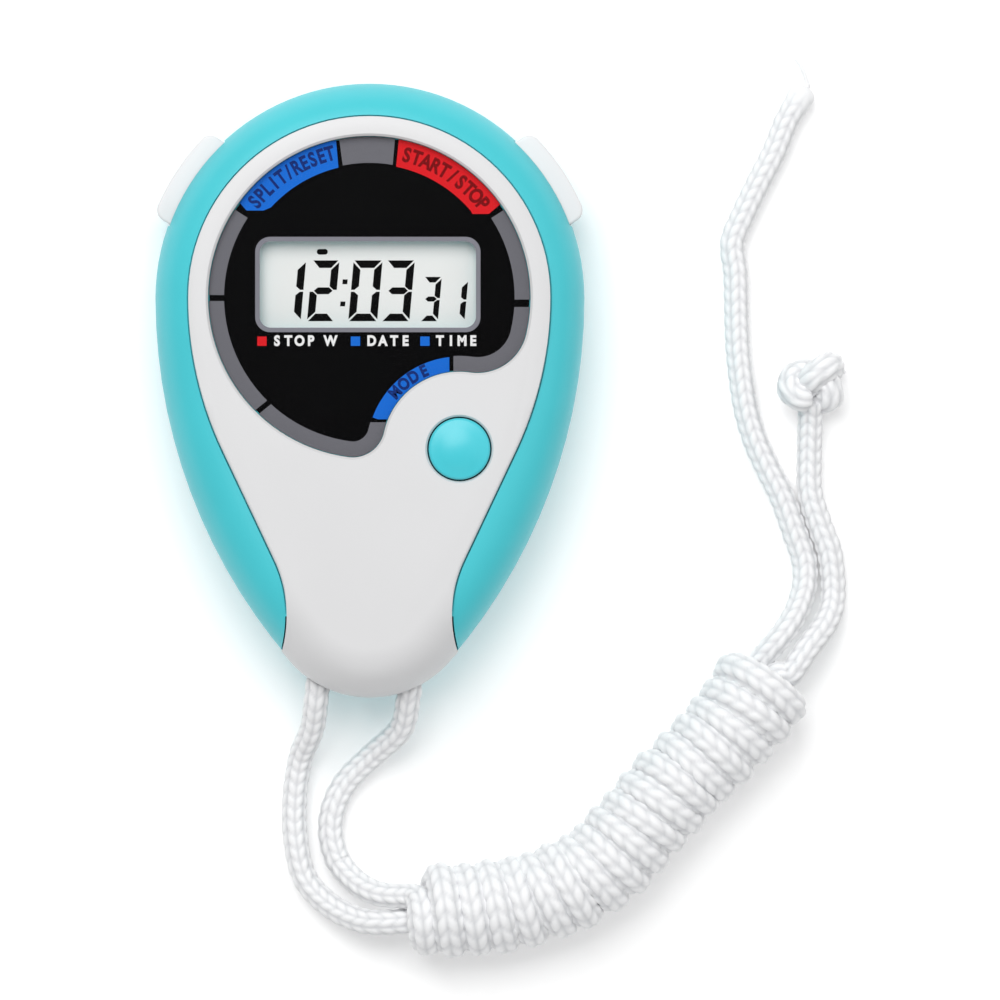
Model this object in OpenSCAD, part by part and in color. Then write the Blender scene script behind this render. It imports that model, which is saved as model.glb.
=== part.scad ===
// Hand-held quartz stopwatch with a wound neck cord.
// It lies on its back: +Z comes out of the display, +Y points to the top of the
// display and +X to the right. The origin is under the middle of the case, on the
// plane of the back. Everything is in millimetres.

/* [Case] */
// Height of the case, top of the head to the end of the tail
case_l = 82; // [70:0.5:98]
// Radius of the round head
head_r = 28.7; // [28.5:0.1:34]
// Radius of the tail's end
tail_r = 14.1; // [11.5:0.1:17]
// Thickness of the rear shell, back to parting line
rear_t = 8.4; // [8.4:0.1:12]
// Height of the front shell above the parting line
front_t = 8.6; // [8.6:0.1:11]
// Wall of both shells
wall = 1.8; // [1.5:0.1:2.2]

/* [Faceplate] */
// Thickness of the white faceplate
plate_t = 1.6; // [1.4:0.1:2.2]
// How far the faceplate stands above the shell's top
plate_proud = 0.6; // [0.2:0.1:1]
// Radius of the faceplate's round head
plate_r = 24.1; // [23.4:0.1:25]
// Half of the width of the faceplate's waist
waist = 11; // [9.5:0.1:12]

/* [Display] */
// Radius of the black panel
panel_r = 21.4; // [20:0.1:22]
// Radius of the bite that the panel leaves round the mode button
bite_r = 10.35; // [9:0.1:12]
// Width of the liquid crystal window
window_w = 28.9; // [26:0.1:31]
// Height of the liquid crystal window
window_h = 11.6; // [10:0.1:13]

/* [Buttons] */
// Diameter of the mode button
mode_d = 8.2; // [7:0.1:9]
// Width of the two rim buttons along the rim
rim_w = 13.2; // [11:0.1:14.5]
// Height of the two rim buttons
rim_h = 6; // [5:0.1:7]
// How far the rim buttons stand out of the rim
rim_out = 2.2; // [1.5:0.1:3]
// Travel of every button
travel = 1; // [0.6:0.1:1.2]

/* [Battery] */
// Diameter of the button cell
cell_d = 11.6; // [9.5:0.1:11.6]
// Height of the button cell
cell_h = 5.4; // [3.6:0.1:5.4]
// Diameter of the battery cover
cover_d = 15.6; // [15:0.1:18]

/* [Cord] */
// Diameter of the knitted neck cord
cord_d = 3.1; // [2.5:0.1:3.4]
// Outer diameter of the wound part
hank_d = 11.4; // [10.5:0.1:12]

/* [Hidden] */

// Fine and coarse roundness
$fn = 64;
arc_step = 5;
gap = 0.2;

// Heights up through the stack
case_t = rear_t + front_t;
floor_z = wall;
plate_z = case_t - 1;
plate_top = case_t + plate_proud;
ceiling_z = plate_z - wall + 0.2;
cover_in = 0.1;
cell_z = 3.2;
pcb_t = 1.2;
pcb_z = max(9.2, cell_z + cell_h + 0.6);
pcb_top = pcb_z + pcb_t;
polar_t = 0.2;
lcd_gap = 0.15;
glass_t = 0.9;
lcd_z = ceiling_z - lcd_gap - 2 * glass_t - 2 * polar_t;
zebra_h = lcd_z + polar_t - pcb_top;
tape_t = 0.1;
film_t = 0.2;
lens_t = plate_top - plate_z - tape_t - film_t - 0.1;

// Places in plan
top_y = case_l / 2;
head_y = top_y - head_r;
tail_y = -case_l / 2 + tail_r;
// The flank's radius, so that it runs smoothly into the head and the tail
side_r = (head_r ^ 2 + (case_l - head_r) ^ 2 - 2 * tail_r * (case_l - head_r)) / (2 * (head_r - tail_r));
flank_x = side_r - head_r;
mode_at = [12, head_y - 20.2];
lcd_at = [-0.2, head_y + 1.7];
cell_at = [-8, head_y - 18.3];
piezo_at = [7, head_y + 8];
piezo_r = 9;
rim_turn = 33.5;
post_at = [-0.7, -case_l / 2 + 8.4];
post_r = 4;
hole_at = [-6.9, 5.5];
screws_at = [[-8.5, head_y + 21], [8.5, head_y + 21], [-17, head_y - 27.8],
    [17, head_y - 27.8], post_at];
board_x = max(20.6, window_w / 2 + 6.2);
board_screws_at = [[-board_x, head_y + 2], [board_x, head_y + 2], [1, head_y - 22]];
boss_r = 2.5;
screw_r = 0.9;
cord_z = rear_t;
eye_r = cord_d / 2 + 0.45;

// Where two circles meet: centres a and b, radii ra and rb, right of a-b if s is 1
function meet(a, ra, b, rb, s) =
    let (v = b - a, d = norm(v), e = (d * d + ra * ra - rb * rb) / (2 * d))
    let (h = sqrt(max(0, ra * ra - e * e)))
    a + e * v / d + s * h * [-v[1], v[0]] / d;

function arc(c, r, from, to, n) =
    [for (i = [0 : n]) c + r * [cos(from + (to - from) * i / n), sin(from + (to - from) * i / n)]];

function angle_of(p, c) = atan2(p[1] - c[1], p[0] - c[0]);

// The case's outline, moved in by d: head, left flank, tail's end, right flank
function case_pts(d) =
    let (
        right_c = [-flank_x, head_y],
        left_c = [flank_x, head_y],
        tail_c = [0, tail_y],
        flank = angle_of(tail_c, right_c),
        tail = flank
    )
    concat(
        arc([0, head_y], head_r - d, 0, 180, 180 / arc_step),
        [for (p = arc(left_c, side_r - d, 180, 180 - flank, 14)) if (p[1] < head_y - 0.5) p],
        [for (i = [1 : 9]) tail_c + (tail_r - d) * [cos(-180 - tail + (180 + 2 * tail) * i / 10),
            sin(-180 - tail + (180 + 2 * tail) * i / 10)]],
        [for (p = arc(right_c, side_r - d, flank, 0, 14)) if (p[1] < head_y - 0.5) p]
    );

// A four-cornered face as two triangles
function quad(a, b, c, d) = [[a, b, c], [a, c, d]];

// The solid between rings, each an inset and a height, lowest first
module loft(rings) {
    n = len(case_pts(0));
    last = (len(rings) - 1) * n;
    polyhedron(
        [for (r = rings) for (p = case_pts(r[0])) [p[0], p[1], r[1]]],
        concat(
            [[for (i = [0 : n - 1]) i]],
            [for (k = [0 : len(rings) - 2]) for (i = [0 : n - 1]) let (m = (i + 1) % n)
                for (f = quad(k * n + m, k * n + i, (k + 1) * n + i, (k + 1) * n + m)) f],
            [[for (i = [0 : n - 1]) last + n - 1 - i]]
        )
    );
}

// Surfaces with a wall of d outside them: the back's rounding up to top, and the shoulder from
// low up to the front. Both are quarter ellipses over the case's outline.
back_w = 5.5;
back_h = 6.4;
shoulder_w = 6.6;
lip_h = 1.2;
function back_rings(d, top) = concat(
    [for (a = [0 : 15 : 90]) [d + back_w * (1 - sin(a)), d + (back_h - d) * (1 - cos(a))]],
    [[d, top]]
);
function shoulder_rings(d, low, top = case_t) = concat(
    [[d, low]],
    [for (a = [0 : 15 : 90]) [d + shoulder_w * (1 - cos(a)),
        rear_t + lip_h + (top - d - rear_t - lip_h) * sin(a)]]
);

// The faceplate's outline, moved in by d: its round head, flank, waist and flare. The waist is the
// straight line that touches both the flank and the flare.
plate_side_r = 48;
flare_r = 17;
flare_end = 201;
function plate_half(d) =
    let (
        side_c = [plate_r - plate_side_r, head_y],
        neck_c = [waist + flare_r, -case_l / 2 + 11],
        low = angle_of(neck_c, side_c) + acos((plate_side_r + flare_r) / norm(neck_c - side_c))
    )
    concat(
        arc([0, head_y], plate_r - d, 90, 0, 90 / arc_step),
        arc(side_c, plate_side_r - d, low / 6, low, 5),
        arc(neck_c, flare_r + d, 180 + low, flare_end, 8)
    );

// The faceplate's plan: the outline, and below the flare the whole tail
module plate_shape(d) {
    half = plate_half(d);
    foot = [waist + 1.4 - d, -case_l / 2 - 3];
    polygon(concat(half, [foot, [-foot[0], foot[1]]],
        [for (i = [len(half) - 1 : -1 : 0]) [-half[i][0], half[i][1]]]));
}

// The black panel's plan, moved in by d: a circle with a bite round the mode button
lobe_r = 4.2;
horn_r = 6.6;
module panel_shape(d) {
    c = [0, head_y];
    a = lobe_r - d;
    b = horn_r - d;
    lobe_c = meet(c, panel_r - lobe_r, mode_at, bite_r + lobe_r, -1);
    horn_c = meet(c, panel_r - horn_r, mode_at, bite_r + horn_r, 1);
    lobe_far = angle_of(lobe_c, c);
    lobe_bite = angle_of(mode_at, lobe_c);
    horn_far = angle_of(horn_c, c);
    horn_bite = angle_of(mode_at, horn_c);
    polygon(concat(
        arc(c, panel_r - d, horn_far, lobe_far + 360, 48),
        arc(lobe_c, a, lobe_far, lobe_bite, 10),
        arc(mode_at, bite_r + d, angle_of(lobe_c, mode_at), angle_of(horn_c, mode_at), 16),
        arc(horn_c, b, horn_bite, horn_far, 10)
    ));
}

// A rounded rectangle, centred
module round_rect(w, h, r) {
    union() {
        square([w - 2 * r, h], center = true);
        square([w, h - 2 * r], center = true);
        for (x = [-1, 1]) for (y = [-1, 1])
            translate([x * (w / 2 - r), y * (h / 2 - r)]) circle(r, $fn = 32);
    }
}

// Places a piece on the rim, +X outwards, at the right or the left
module at_rim(side) {
    translate([0, head_y, rear_t])
        rotate([0, 0, side > 0 ? rim_turn : 180 - rim_turn]) children();
}

// The hole through the rim for one button
module rim_slot() {
    translate([head_r - 4, -rim_w / 2 - gap, -rim_h / 2 - gap])
        cube([8, rim_w + 2 * gap, rim_h + 2 * gap]);
}

// The holes in the tail that the cord comes out of, and the way round the post
module cord_ways(r) {
    for (x = hole_at)
        translate([x, post_at[1], cord_z]) rotate([90, 0, 0]) cylinder(h = 14, r = r);
}

// Bores up through the rear shell's bosses for the case screws
head_sink = 2.6;
module screw_bores(r, head) {
    for (p = screws_at) {
        translate([p[0], p[1], -1]) cylinder(h = rear_t + 2, r = r, $fn = 32);
        translate([p[0], p[1], -1]) cylinder(h = 1 + head_sink, r = head, $fn = 32);
    }
}

// Battery cover: a disc with two lugs that turn under the rear wall
lug_r = cover_d / 2 + 1.2;
lug_t = 0.8;
run = 0.08;
cover_turn = 60;
module lugs(r, grow) {
    for (a = [0, 180]) rotate([0, 0, a])
        intersection() {
            circle(r);
            polygon([[0, 0], 20 * [cos(22 + grow), sin(22 + grow)], [20, 0],
                20 * [cos(22 + grow), -sin(22 + grow)]]);
        }
}

bay_wall = 1.2;
module rear_case() {
    color([0.32, 0.8, 0.84])
    difference() {
        union() {
            difference() {
                loft(back_rings(0, rear_t));
                loft(back_rings(wall, rear_t + 1));
            }
            for (p = screws_at) if (p != post_at)
                translate([p[0], p[1], 0.5]) cylinder(h = rear_t - 0.5, r = boss_r);
            translate([post_at[0], post_at[1], 0.5]) cylinder(h = rear_t - 0.5, r = post_r);
            translate([piezo_at[0], piezo_at[1], 1]) cylinder(h = floor_z, r = piezo_r + 0.8);
            translate([cell_at[0], cell_at[1], 1]) cylinder(h = cell_z + 2, r = lug_r + bay_wall);
        }
        translate([piezo_at[0], piezo_at[1], floor_z]) cylinder(h = 3, r = piezo_r - 1);
        translate([piezo_at[0], piezo_at[1], floor_z + 0.8]) cylinder(h = 3, r = piezo_r + 0.05);
        for (a = [-6 : 4 : 6])
            translate([piezo_at[0] + a, piezo_at[1], -1]) cylinder(h = 4, r = 0.6, $fn = 24);
        translate([cell_at[0], cell_at[1], -1]) cylinder(h = 4, r = cover_d / 2 + run);
        translate([cell_at[0], cell_at[1], 2]) cylinder(h = 5, r = lug_r + gap);
        translate([cell_at[0], cell_at[1], -1]) rotate([0, 0, cover_turn])
            linear_extrude(4) lugs(lug_r + gap / 2, 3);
        screw_bores(screw_r + 0.25, 1.9);
        for (s = [-1, 1]) at_rim(s) rim_slot();
        cord_ways(eye_r);
    }
}

// The front shell has no wall of its own behind the faceplate's skirt
skirt_in = max(plate_t + gap, wall) + 0.1;
glass_w = window_w + 4;
glass_h = window_h + 4.6;
module front_case() {
    color([0.35, 0.84, 0.88])
    difference() {
        union() {
            difference() {
                loft(shoulder_rings(0, rear_t));
                loft([for (r = shoulder_rings(wall, rear_t - 1)) [r[0], min(r[1], ceiling_z)]]);
            }
            for (p = screws_at)
                translate([p[0], p[1], rear_t])
                    cylinder(h = ceiling_z - rear_t + 0.5, r = p == post_at ? post_r : boss_r);
            for (p = board_screws_at)
                translate([p[0], p[1], pcb_top]) cylinder(h = ceiling_z - pcb_top + 0.5, r = 2);
        }
        // Pocket for the faceplate, with the tail cut down to the parting line
        translate([0, 0, plate_z]) linear_extrude(5) plate_shape(-gap);
        intersection() {
            difference() {
                translate([0, 0, rear_t - 1]) linear_extrude(20) plate_shape(-gap);
                loft(concat([[skirt_in, rear_t - 2]], shoulder_rings(skirt_in, rear_t - 1)));
            }
            translate([-30, skirt_y - 20 + gap, rear_t - 1]) cube([60, 20, 20]);
        }
        translate([lcd_at[0], lcd_at[1], ceiling_z - 1]) linear_extrude(4)
            round_rect(window_w + 0.6, window_h + 0.6, 1.6);
        translate([mode_at[0], mode_at[1], ceiling_z - 1]) cylinder(h = 4, r = mode_d / 2 + gap);
        for (p = screws_at)
            translate([p[0], p[1], rear_t - 1]) cylinder(h = 5, r = screw_r, $fn = 32);
        for (p = board_screws_at)
            translate([p[0], p[1], pcb_top - 1]) cylinder(h = 3.6, r = 0.7, $fn = 32);
        for (s = [-1, 1]) at_rim(s) rim_slot();
        cord_ways(eye_r);
    }
}

// The skirt round the tail reaches up to here
skirt_y = -case_l / 2 + 10.6;

// Outer surface of the faceplate: flat front, rolled edge, skirt round the tail
plate_over = 0.15;
module plate_body() {
    loft(shoulder_rings(-plate_over, rear_t + 0.05, plate_top - plate_over));
}

module faceplate() {
    color([0.95, 0.95, 0.96])
    difference() {
        intersection() {
            plate_body();
            translate([0, 0, rear_t]) linear_extrude(20) plate_shape(0);
        }
        // Underside: flat over the case, hollow inside the tail's skirt
        translate([-40, skirt_y, 0]) cube([80, case_l, plate_z]);
        loft(concat([[plate_t, rear_t - 2]], shoulder_rings(plate_t, rear_t - 1)));
        translate([0, 0, plate_z - 1]) linear_extrude(5) panel_shape(-0.1);
        translate([mode_at[0], mode_at[1], plate_z - 1]) cylinder(h = 5, r = mode_d / 2 + gap);
        cord_ways(eye_r);
    }
}

module display_lens() {
    color([0.75, 0.78, 0.8, 0.35])
    translate([0, 0, plate_z + tape_t + film_t]) linear_extrude(lens_t) panel_shape(0);
}

module print_film() {
    color([0.03, 0.03, 0.035])
    translate([0, 0, plate_z + tape_t]) linear_extrude(film_t)
        difference() {
            panel_shape(0.1);
            translate(lcd_at) round_rect(window_w, window_h, 1.4);
        }
}

module lens_tape() {
    color([0.8, 0.8, 0.78])
    translate([0, 0, plate_z]) linear_extrude(tape_t)
        difference() {
            panel_shape(0.4);
            panel_shape(2);
        }
}

// One sheet of the liquid crystal cell
module sheet(w, h, t, z) {
    translate([lcd_at[0] - w / 2, lcd_at[1] - h / 2, z]) cube([w, h, t]);
}

module lcd_rear_polarizer() {
    color([0.7, 0.72, 0.7]) sheet(glass_w - 0.6, window_h, polar_t, lcd_z);
}
module lcd_rear_glass() {
    color([0.75, 0.82, 0.8, 0.6]) sheet(glass_w, glass_h, glass_t, lcd_z + polar_t);
}
module lcd_front_glass() {
    color([0.8, 0.86, 0.84, 0.5]) sheet(glass_w, glass_h - 1.4, glass_t, lcd_z + polar_t + glass_t);
}
module lcd_front_polarizer() {
    color([0.8, 0.82, 0.78]) sheet(glass_w - 0.6, window_h, polar_t, lcd_z + polar_t + 2 * glass_t);
}

// Moulded frame that holds the glass over the board
module lcd_frame() {
    color([0.9, 0.9, 0.88])
    translate([lcd_at[0], lcd_at[1], pcb_top])
        linear_extrude(lcd_z + polar_t + glass_t - pcb_top)
            difference() {
                round_rect(glass_w + 3, glass_h + 2.4, 1);
                square([glass_w + 0.2, glass_h + 0.2], center = true);
            }
}

module zebra(side) {
    color([0.85, 0.55, 0.65])
    translate([lcd_at[0] - window_w / 2, lcd_at[1] + side * (glass_h / 2 - 1.1) - 0.9, pcb_top])
        cube([window_w, 1.8, zebra_h]);
}
module zebra_upper() {
    zebra(1);
}
module zebra_lower() {
    zebra(-1);
}

module pcb() {
    color([0.1, 0.42, 0.2])
    difference() {
        translate([0, 0, pcb_z]) linear_extrude(pcb_t)
            difference() {
                intersection() {
                    polygon(case_pts(4.8));
                    translate([-40, head_y - 28.5]) square([80, 70]);
                }
                for (s = [-1, 1]) translate([0, head_y])
                    rotate([0, 0, s > 0 ? rim_turn : 180 - rim_turn])
                        translate([head_r - 9.4, -rim_w / 2 - 1]) square([12, rim_w + 2]);
                for (p = screws_at) translate(p) circle(boss_r + 0.4);
            }
        for (p = board_screws_at)
            translate([p[0], p[1], pcb_z - 1]) cylinder(h = 4, r = 0.9, $fn = 32);
    }
}

chip_at = [-2, head_y - 13];
module chip_blob() {
    color([0.04, 0.04, 0.04])
    translate([chip_at[0], chip_at[1], pcb_top])
        rotate_extrude() polygon([[0, 0], [4.2, 0], [4, 0.5], [3, 1], [1.6, 1.3], [0, 1.4]]);
}

module quartz_crystal() {
    color([0.78, 0.78, 0.8]) {
        translate([-16, head_y - 13, pcb_top + 1]) rotate([0, 90, 0]) cylinder(h = 6, r = 1, $fn = 32);
    }
}

module chip_part(p, w, h, t) {
    translate([p[0] - w / 2, p[1] - h / 2, pcb_top]) cube([w, h, t]);
}
module resistors() {
    color([0.12, 0.12, 0.13])
    for (i = [0 : 2]) chip_part([5 + 3 * i, head_y - 12.4], 1.2, 2, 0.5);
}
module capacitors() {
    color([0.75, 0.6, 0.4])
    for (i = [0 : 1]) chip_part([-9.5, head_y - 17 - 3 * i], 2, 1.2, 0.8);
}

piezo_z = floor_z + 0.8;
module piezo_plate() {
    color([0.85, 0.68, 0.3])
    translate([piezo_at[0], piezo_at[1], piezo_z]) cylinder(h = 0.2, r = piezo_r);
}
module piezo_ceramic() {
    color([0.9, 0.89, 0.84])
    translate([piezo_at[0], piezo_at[1], piezo_z + 0.2]) cylinder(h = 0.2, r = piezo_r - 3);
}

// A wire swept along points: a ring of sides corners across the path at each point
function unit(v) = v / max(norm(v), 1e-9);
function along(p, i) = unit(p[min(i + 1, len(p) - 1)] - p[max(i - 1, 0)]);
function across(t) = unit(cross(t, abs(t[2]) < 0.9 ? [0, 0, 1] : [1, 0, 0]));
module sweep(p, r, sides) {
    n = len(p);
    polyhedron(
        [for (i = [0 : n - 1]) let (t = along(p, i), u = across(t), v = cross(t, u))
            for (k = [0 : sides - 1]) p[i] + r * (cos(360 * k / sides) * u + sin(360 * k / sides) * v)],
        concat(
            [[for (k = [0 : sides - 1]) k]],
            [for (i = [0 : n - 2]) for (k = [0 : sides - 1]) let (m = (k + 1) % sides)
                for (f = quad(i * sides + m, i * sides + k, (i + 1) * sides + k, (i + 1) * sides + m)) f],
            [[for (k = [sides - 1 : -1 : 0]) (n - 1) * sides + k]]
        )
    );
}

spring_wire = 0.2;
spring_turns = 5;
spring_low = piezo_z + 0.4 + spring_wire;
module buzzer_spring() {
    rise = pcb_z - spring_wire - spring_low;
    color([0.8, 0.8, 0.82])
    sweep([for (i = [0 : spring_turns * 12]) [piezo_at[0] + 1.4 * cos(30 * i),
        piezo_at[1] + 1.4 * sin(30 * i), spring_low + rise * i / (spring_turns * 12)]],
        spring_wire, 6);
}

module battery_cell() {
    color([0.8, 0.81, 0.83])
    translate([cell_at[0], cell_at[1], cell_z])
        rotate_extrude() polygon([[0, 0], [cell_d / 2 - 0.4, 0], [cell_d / 2, 0.4],
            [cell_d / 2, cell_h - 0.5], [cell_d / 2 - 1.2, cell_h - 0.3],
            [cell_d / 2 - 1.4, cell_h], [0, cell_h]]);
}

contact_t = 0.2;
module battery_contact_negative() {
    color([0.83, 0.72, 0.4])
    translate([cell_at[0], cell_at[1], cell_z + cell_h]) {
        cylinder(h = contact_t, r = 2.4);
        translate([-1, 0, 0]) cube([2, 8, contact_t]);
        translate([-1, 7.8, 0]) cube([2, contact_t, pcb_z - cell_z - cell_h]);
    }
}

clip_x = cell_d / 2 + 0.1;
module battery_contact_positive() {
    color([0.83, 0.72, 0.4])
    translate([cell_at[0], cell_at[1], cell_z + 1])
        translate([clip_x, -2, 0]) {
            cube([contact_t, 4, pcb_z - cell_z - 1]);
            translate([0, 0, pcb_z - cell_z - 1 - contact_t]) cube([2.4, 4, contact_t]);
        }
}

module battery_cover() {
    color([0.3, 0.74, 0.78])
    translate([cell_at[0], cell_at[1], cover_in])
    difference() {
        union() {
            cylinder(h = 2.2 - cover_in, r = cover_d / 2);
            translate([0, 0, 2.2 - cover_in]) linear_extrude(lug_t) lugs(lug_r, 0);
            translate([0, 0, 2.2 - cover_in]) cylinder(h = lug_t, r = cover_d / 2 - 0.9);
        }
        translate([-5, -0.9, -1]) cube([10, 1.8, 2]);
        translate([0, 0, 1]) difference() {
            cylinder(h = 0.8, r = cover_d / 2 + 1);
            cylinder(h = 0.8, r = cover_d / 2 - 0.8);
        }
    }
}
module cover_seal() {
    color([0.06, 0.06, 0.06])
    translate([cell_at[0], cell_at[1], cover_in + 1.4])
        rotate_extrude() translate([cover_d / 2 - 0.4, 0]) circle(0.36, $fn = 24);
}

// One rim button: cap outside the wall, flange inside it, stem to the contact
flange_at = head_r - 4.6;
stem_end = head_r - 7.4;
module rim_button(side) {
    color([0.96, 0.96, 0.97])
    at_rim(side) {
        difference() {
            translate([0, 0, -rim_h / 2]) linear_extrude(rim_h)
                intersection() {
                    circle(head_r + rim_out, $fn = 128);
                    translate([head_r + rim_out / 2 - 3, 0]) round_rect(rim_out + 6, rim_w, 1.6);
                }
            translate([0, 0, -rim_h]) cylinder(h = 2 * rim_h, r = flange_at);
        }
        translate([flange_at - 0.8, -rim_w / 2 - 0.9, -rim_h / 2 - 0.9])
            cube([1, rim_w + 1.8, rim_h + 1.8]);
        translate([stem_end, -1.5, -1.5]) cube([flange_at - stem_end, 3, 3]);
    }
}
module start_button() {
    rim_button(1);
}
module split_button() {
    rim_button(-1);
}

// Spring contact behind a rim button, soldered to the edge of the board
leaf_at = stem_end - travel - 0.4;
module rim_contact(side) {
    color([0.83, 0.72, 0.4])
    at_rim(side) {
        translate([leaf_at - 0.2, -1.5, -2.2]) cube([0.2, 3, pcb_z - rear_t + 2.2]);
        translate([leaf_at - 2.4, -1.5, pcb_z - rear_t - 0.2]) cube([2.4, 3, 0.2]);
    }
}
module start_contact() {
    rim_contact(1);
}
module split_contact() {
    rim_contact(-1);
}

dome = 0.9;
flange_t = 0.7;
module mode_button() {
    color([0.3, 0.75, 0.8])
    translate([mode_at[0], mode_at[1], 0])
        rotate_extrude() polygon(concat(
            [[0, ceiling_z - gap - flange_t], [mode_d / 2 + 1, ceiling_z - gap - flange_t],
                [mode_d / 2 + 1, ceiling_z - gap], [mode_d / 2, ceiling_z - gap]],
            [for (a = [0 : 15 : 90]) [mode_d / 2 - 0.5 + 0.5 * cos(a), plate_top + 0.1 + 0.4 * sin(a)]],
            [[mode_d / 4, plate_top + 0.5 + 0.6 * dome], [0, plate_top + 0.5 + 0.8 * dome]]
        ));
}

// Silicone spring under the mode button, with its carbon contact
pad_top = ceiling_z - gap - flange_t;
module mode_pad() {
    color([0.88, 0.88, 0.86])
    translate([mode_at[0], mode_at[1], 0])
        difference() {
            rotate_extrude() polygon([[0, pcb_top], [4.6, pcb_top], [4.6, pcb_top + 0.8],
                [3.2, pcb_top + 1], [2.4, pad_top], [0, pad_top]]);
            translate([0, 0, pcb_top - 1]) cylinder(h = 2.1, r = 2.6);
            translate([0, 0, pcb_top]) cylinder(h = 1.5, r = 1.5);
        }
}
module mode_pill() {
    color([0.08, 0.08, 0.08])
    translate([mode_at[0], mode_at[1], pcb_top + 1.1]) cylinder(h = 0.4, r = 1.4, $fn = 32);
}

// A pan-head screw with its tip up
module screw(p, seat, len, r, head) {
    translate([p[0], p[1], seat]) {
        cylinder(h = len, r = r, $fn = 32);
        difference() {
            translate([0, 0, -1]) cylinder(h = 1, r = head, $fn = 32);
            translate([-0.25, -head * 0.6, -2]) cube([0.5, head * 1.2, 1.5]);
            translate([-head * 0.6, -0.25, -2]) cube([head * 1.2, 0.5, 1.5]);
        }
    }
}
module case_screws() {
    color([0.7, 0.71, 0.73])
    for (p = screws_at) screw(p, head_sink, rear_t + 3 - head_sink, screw_r, 1.7);
}
module pcb_screws() {
    color([0.7, 0.71, 0.73])
    for (p = board_screws_at) screw(p, pcb_z, pcb_t + 2.2, 0.7, 1.5);
}

// The cord's route, in millimetres on the surface: out of the left eye and back
lay = cord_d / 2 + 0.1;
left_way = [[-6.9, -38, cord_z], [-7.2, -41.4, 8], [-7.8, -45.4, 5.5], [-9.4, -49.4, 2.6],
    [-10.2, -54.8, lay], [-10.1, -60.1, lay], [-8.9, -65.4, lay], [-5.8, -68.9, 2.4],
    [-1.8, -71, 4.2], [1.6, -71.4, 5.6], [4.8, -71.4, 5.6]];
right_way = [[5.5, -38, cord_z], [5.1, -41.4, 8], [4.1, -45.4, 5.5], [0.3, -49, 2.6],
    [-3.1, -52.4, lay], [-5, -56.1, lay], [-5.3, -60.1, lay], [-3.9, -64.1, 2.2],
    [-1.3, -66.6, 4], [2, -67.9, 5.8], [4.8, -67.9, 5.8]];
hank_way = [[4.8, -69.7, 5.8], [10, -69.7, 5.8], [16.5, -69.2, 5.8], [20.8, -68.6, 5.8],
    [24.8, -67.2, 5.8], [28.8, -65.2, 5.8], [32.2, -62.6, 5.8], [35.4, -59.4, 5.8],
    [38.2, -56.1, 5.8], [41.4, -52.2, 5.8], [45.3, -48.6, 5.8], [48.9, -45, 5.8],
    [51.8, -40.9, 5.8], [54.6, -37, 5.8]];
knot_way = [[56.2, -38.1, 5.6], [58.7, -34.6, 5.2], [61.2, -31.2, 3.2], [62.2, -27.6, lay], [61.8, -22, lay],
    [60.4, -18, lay], [59.1, -13.6, lay], [59, -8.7, lay], [59.1, -4, 2.4]];
bare_way = [[53.1, -35.9, 5.8], [55.4, -32.7, 5.4], [57.8, -28.6, 3], [58.4, -23.6, lay], [56.9, -18.7, lay],
    [55.2, -14, lay], [53.4, -10.4, lay], [51.6, -6.3, lay], [50.4, -2, lay], [49.6, 3.7, lay],
    [49.3, 8, lay], [49.2, 12, lay], [49.1, 16, lay], [48.7, 20, lay], [50.3, 24, lay],
    [52.2, 28, lay], [54.3, 32.1, lay], [55.9, 36.1, lay], [58, 39.8, lay]];
loop_mid = (hole_at[0] + hole_at[1]) / 2;
loop_r = (hole_at[1] - hole_at[0]) / 2;
inner_way = concat([[hole_at[0], -38, cord_z]],
    [for (a = [180 : -22.5 : 0]) [loop_mid + loop_r * cos(a), post_at[1] + loop_r * sin(a), cord_z]],
    [[hole_at[1], -38, cord_z]]);

module cord(way) {
    color([0.97, 0.97, 0.97]) sweep(way, cord_d / 2, 8);
}
module cord_left_lead() {
    cord(left_way);
}
module cord_inner_loop() {
    cord(inner_way);
}
module cord_right_lead() {
    cord(right_way);
}
module cord_knot_tail() {
    cord(knot_way);
}
module cord_bare_tail() {
    cord(bare_way);
}
module cord_hank() {
    color([0.95, 0.95, 0.95]) sweep(hank_way, hank_d / 2, 16);
}
module cord_knot() {
    color([0.95, 0.95, 0.95])
    translate([59.1, 0.9, 4]) hull() {
        translate([-1.6, -1.2, 0]) sphere(3.6, $fn = 24);
        translate([1.6, 0.8, 0]) sphere(3.6, $fn = 24);
    }
}

rear_case();
front_case();
faceplate();
display_lens();
print_film();
lens_tape();
lcd_front_polarizer();
lcd_front_glass();
lcd_rear_glass();
lcd_rear_polarizer();
lcd_frame();
zebra_upper();
zebra_lower();
pcb();
chip_blob();
quartz_crystal();
resistors();
capacitors();
piezo_plate();
piezo_ceramic();
buzzer_spring();
battery_cell();
battery_contact_positive();
battery_contact_negative();
battery_cover();
cover_seal();
start_button();
split_button();
mode_button();
start_contact();
split_contact();
mode_pad();
mode_pill();
case_screws();
pcb_screws();
cord_left_lead();
cord_inner_loop();
cord_right_lead();
cord_hank();
cord_knot_tail();
cord_knot();
cord_bare_tail();
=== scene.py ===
"""A hand-held digital stopwatch with a wound neck cord, lying on its back.

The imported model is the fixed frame. The sections follow the watch as it is put together, after the
camera, the floor, the lights and the cord. Places are in metres; a piece's own sizes are given in
millimetres and turned into metres with MM.
"""
import math

import bpy
import numpy as np
from mathutils import Matrix, Vector


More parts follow.
